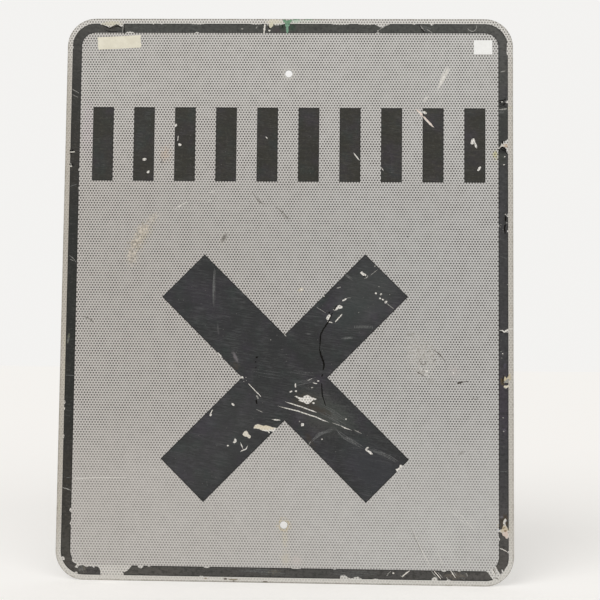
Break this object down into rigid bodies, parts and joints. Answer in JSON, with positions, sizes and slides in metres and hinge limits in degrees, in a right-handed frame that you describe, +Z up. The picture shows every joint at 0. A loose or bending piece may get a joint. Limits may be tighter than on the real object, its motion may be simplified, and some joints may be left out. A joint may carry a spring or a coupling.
{
  "type": "pedestrian crossing sign",
  "caption": "Flat upright rectangular road sign with rounded corners, a worn black border, a diagonal cross and a row of bars on white reflective sheeting, bolted to a post.",
  "frame": {"origin": "midway between the two bolt holes, on the back face of the blank", "axes": "+X across the sign to the right as it is read, +Y out of the back towards the post, +Z up; the printed face looks along -Y"},
  "size_m": [0.6, 0.0025, 0.75],
  "materials": {
    "aluminium_blank": "mill finish sheet, fine grain, dulled",
    "white_sheeting": "silvery white reflective sheeting with a fine honeycomb pattern, scuffed",
    "black_film": "worn black film, faded to dark grey, finely scratched",
    "masking_tape": "matt cream crepe paper",
    "paper_label": "matt white paper"
  },
  "bodies": {
    "root": {"sign_blank": "aluminium_blank", "reflective_sheeting": "white_sheeting", "border_film_main": "black_film", "border_film_right": "black_film", "border_film_foot": "black_film", "border_film_bottom": "black_film", "cross_film": "black_film", "crossing_stripe_01": "black_film", "crossing_stripe_02": "black_film", "crossing_stripe_03": "black_film", "crossing_stripe_04": "black_film", "crossing_stripe_05": "black_film", "crossing_stripe_06": "black_film", "crossing_stripe_07": "black_film", "crossing_stripe_08": "black_film", "crossing_stripe_09": "black_film", "crossing_stripe_10": "black_film", "masking_tape": "masking_tape", "paper_label": "paper_label"}
  },
  "joints": []
}
